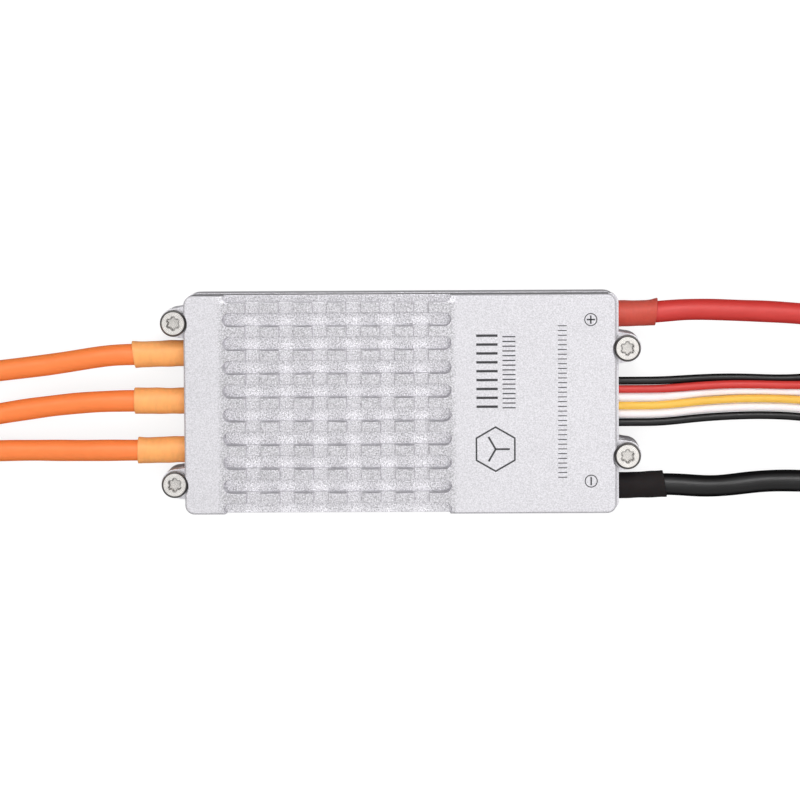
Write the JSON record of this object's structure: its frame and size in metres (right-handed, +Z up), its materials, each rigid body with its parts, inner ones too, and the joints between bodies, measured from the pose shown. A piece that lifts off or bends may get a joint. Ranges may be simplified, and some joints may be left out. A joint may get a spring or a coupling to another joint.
{
  "type": "electronic speed controller",
  "caption": "Brushless motor speed controller in a finned two-piece aluminium case, with phase leads at one end, and battery leads and signal wires at the other.",
  "frame": {"origin": "centre of the case's flat underside", "axes": "+X towards the battery and signal end, +Y towards the positive lead's side, +Z up through the heat-sink fins"},
  "size_m": [0.214, 0.0374, 0.016],
  "materials": {
    "bead_blasted_aluminium": "bead blasted, clear anodised",
    "stainless_steel": "turned",
    "plated_steel": "zinc plated",
    "orange_silicone": "satin",
    "orange_heat_shrink": "satin",
    "red_silicone": "satin",
    "red_heat_shrink": "satin",
    "black_silicone": "satin",
    "white_silicone": "satin",
    "yellow_silicone": "satin",
    "grey_silicone": "soft",
    "tinned_copper": "tinned",
    "copper": "bare",
    "solder": "bright",
    "gold_plated": "plated",
    "circuit_board": "solder mask",
    "chip_plastic": "moulded",
    "can_aluminium": "satin",
    "ceramic_body": "fired",
    "white_nylon": "moulded",
    "black_nylon": "moulded"
  },
  "bodies": {
    "root": {"base_shell": "bead_blasted_aluminium", "battery_end_seal": "grey_silicone", "board_header": "black_nylon", "board_screws": "plated_steel", "board_spacers": "white_nylon", "buck_inductor": "chip_plastic", "buck_regulator": "chip_plastic", "bus_capacitors": "can_aluminium", "ceramic_capacitors": "ceramic_body", "control_board": "circuit_board", "cover_screws": "stainless_steel", "crystal": "can_aluminium", "current_shunts": "copper", "gate_drivers": "chip_plastic", "heat_sink_cover": "bead_blasted_aluminium", "microcontroller": "chip_plastic", "mosfets": "chip_plastic", "negative_busbar": "copper", "negative_conductor": "tinned_copper", "negative_lead": "black_silicone", "negative_sleeve": "black_silicone", "phase_a_conductor": "tinned_copper", "phase_a_lead": "orange_silicone", "phase_a_sleeve": "orange_heat_shrink", "phase_b_conductor": "tinned_copper", "phase_b_lead": "orange_silicone", "phase_b_sleeve": "orange_heat_shrink", "phase_c_conductor": "tinned_copper", "phase_c_lead": "orange_silicone", "phase_c_sleeve": "orange_heat_shrink", "phase_end_seal": "grey_silicone", "positive_busbar": "copper", "positive_conductor": "tinned_copper", "positive_lead": "red_silicone", "positive_sleeve": "red_heat_shrink", "power_board": "circuit_board", "signal_socket": "white_nylon", "signal_wire_black_1": "black_silicone", "signal_wire_black_2": "black_silicone", "signal_wire_ends": "tinned_copper", "signal_wire_red": "red_silicone", "signal_wire_white_1": "white_silicone", "signal_wire_white_2": "white_silicone", "signal_wire_yellow": "yellow_silicone", "solder_joints": "solder", "telemetry_plug": "black_nylon", "telemetry_plug_contacts": "gold_plated", "thermal_pad": "grey_silicone", "throttle_plug": "black_nylon", "throttle_plug_contacts": "gold_plated"}
  },
  "joints": []
}
